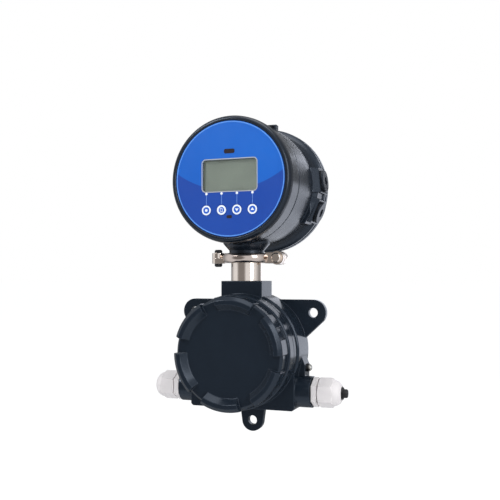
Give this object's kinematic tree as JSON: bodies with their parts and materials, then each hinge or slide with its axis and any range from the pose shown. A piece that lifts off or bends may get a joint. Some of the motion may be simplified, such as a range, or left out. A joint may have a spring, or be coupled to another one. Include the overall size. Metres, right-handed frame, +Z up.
{
  "type": "electromagnetic flow meter converter",
  "caption": "Remote flow meter converter: round head with display and push keys on a clamped swivel stem above a wall-mounted round junction box with cable glands.",
  "frame": {"origin": "centre of the circle through the three lug holes, on the rear mounting face", "axes": "+X to the viewer's right, +Y into the wall, +Z up along the stem"},
  "size_m": [0.1894, 0.133, 0.2995],
  "materials": {
    "paint": "semi-gloss",
    "paint_gloss": "gloss",
    "plug": "semi-gloss",
    "carrier": "matt",
    "foil": "semi-gloss",
    "clear_window": "clear",
    "lcd_bezel": "matt",
    "lcd": "semi-gloss",
    "board": "semi-gloss",
    "switch_body": "matt",
    "dark_window": "gloss",
    "plated_steel": "satin",
    "insulator": "matt",
    "dark_washer": "satin",
    "stainless": "polished",
    "key_cap": "semi-gloss",
    "nylon": "satin",
    "rubber": "matt"
  },
  "bodies": {
    "junction_box": {"box_body": "paint", "stem_tube": "stainless", "centring_seal": "rubber", "clamp_half_front": "stainless", "clamp_half_rear": "stainless", "clamp_hinge_pin": "stainless", "clamp_bolt": "stainless", "clamp_nut": "stainless", "terminal_strip": "insulator", "terminal_screws": "plated_steel", "strip_screws": "plated_steel", "inner_earth_screw": "plated_steel", "earth_screw": "plated_steel", "earth_washer": "dark_washer", "gland_body_left": "nylon", "gland_gasket_left": "rubber", "gland_body_right": "nylon", "gland_gasket_right": "rubber"},
    "head": {"head_housing": "paint", "dial_plate": "carrier", "dial_membrane": "foil", "display_lens": "clear_window", "lcd_frame": "lcd_bezel", "lcd_glass": "lcd", "display_board": "board", "key_switches": "switch_body", "infrared_window": "dark_window", "light_sensor": "dark_window", "main_board": "board", "board_standoffs": "plated_steel", "head_terminal_block": "insulator", "head_terminal_screws": "plated_steel", "cover_lock_screw": "plated_steel", "blind_plug_upper": "plug", "blind_plug_lower": "plug", "plug_seals": "rubber"},
    "front_seal": {"front_cover_seal": "rubber"},
    "front_cover": {"front_cover": "paint_gloss"},
    "rear_seal": {"rear_cover_seal": "rubber"},
    "rear_cover": {"rear_cover": "paint"},
    "box_seal": {"box_cover_seal": "rubber"},
    "box_cover": {"box_cover": "paint"},
    "enter_key": {"key_enter": "key_cap"},
    "page_key": {"key_page": "key_cap"},
    "down_key": {"key_down": "key_cap"},
    "up_key": {"key_up": "key_cap"},
    "left_gland_seal": {"gland_seal_left": "rubber"},
    "left_gland_nut": {"gland_nut_left": "nylon"},
    "right_gland_seal": {"gland_seal_right": "rubber", "gland_stopper": "rubber"},
    "right_gland_nut": {"gland_nut_right": "nylon"}
  },
  "joints": [
    {"name": "head_swivel", "type": "hinge", "parent": "junction_box", "child": "head", "pos_m": [0, -0.022, 0.1564], "axis": [0, 0, 1], "range_deg": [-175, 175]},
    {"name": "front_cover_travel", "type": "slide", "parent": "head", "child": "front_seal", "axis": [0, -1, 0], "range_m": [0, 0.016]},
    {"name": "front_cover_turn", "type": "hinge", "parent": "front_seal", "child": "front_cover", "pos_m": [0, -0.022, 0.1564], "axis": [0, -1, 0], "range_deg": [0, 2880]},
    {"name": "rear_cover_travel", "type": "slide", "parent": "head", "child": "rear_seal", "axis": [0, 1, 0], "range_m": [0, 0.012]},
    {"name": "rear_cover_turn", "type": "hinge", "parent": "rear_seal", "child": "rear_cover", "pos_m": [0, -0.022, 0.1564], "axis": [0, 1, 0], "range_deg": [0, 2160]},
    {"name": "box_cover_travel", "type": "slide", "parent": "junction_box", "child": "box_seal", "axis": [0, -1, 0], "range_m": [0, 0.02]},
    {"name": "box_cover_turn", "type": "hinge", "parent": "box_seal", "child": "box_cover", "pos_m": [0, 0, 0], "axis": [0, -1, 0], "range_deg": [0, 3600]},
    {"name": "left_gland_travel", "type": "slide", "parent": "junction_box", "child": "left_gland_seal", "axis": [-1, 0, 0], "range_m": [0, 0.006]},
    {"name": "left_gland_turn", "type": "hinge", "parent": "left_gland_seal", "child": "left_gland_nut", "pos_m": [-0.078, -0.022, -0.037], "axis": [-1, 0, 0], "range_deg": [0, 1440]},
    {"name": "right_gland_travel", "type": "slide", "parent": "junction_box", "child": "right_gland_seal", "axis": [1, 0, 0], "range_m": [0, 0.006]},
    {"name": "right_gland_turn", "type": "hinge", "parent": "right_gland_seal", "child": "right_gland_nut", "pos_m": [0.078, -0.022, -0.037], "axis": [1, 0, 0], "range_deg": [0, 1440]},
    {"name": "enter_key_press", "type": "slide", "parent": "head", "child": "enter_key", "axis": [0, 1, 0], "range_m": [0, 0.0005], "stiffness_N_per_m": 1500, "springref_m": -0.0004},
    {"name": "page_key_press", "type": "slide", "parent": "head", "child": "page_key", "axis": [0, 1, 0], "range_m": [0, 0.0005], "stiffness_N_per_m": 1500, "springref_m": -0.0004},
    {"name": "down_key_press", "type": "slide", "parent": "head", "child": "down_key", "axis": [0, 1, 0], "range_m": [0, 0.0005], "stiffness_N_per_m": 1500, "springref_m": -0.0004},
    {"name": "up_key_press", "type": "slide", "parent": "head", "child": "up_key", "axis": [0, 1, 0], "range_m": [0, 0.0005], "stiffness_N_per_m": 1500, "springref_m": -0.0004}
  ],
  "couplings": [
    {"joint": "front_cover_travel", "follows": "front_cover_turn", "m_per_rad": 0.00031831},
    {"joint": "rear_cover_travel", "follows": "rear_cover_turn", "m_per_rad": 0.00031831},
    {"joint": "box_cover_travel", "follows": "box_cover_turn", "m_per_rad": 0.00031831},
    {"joint": "left_gland_travel", "follows": "left_gland_turn", "m_per_rad": 0.00023873},
    {"joint": "right_gland_travel", "follows": "right_gland_turn", "m_per_rad": 0.00023873}
  ]
}
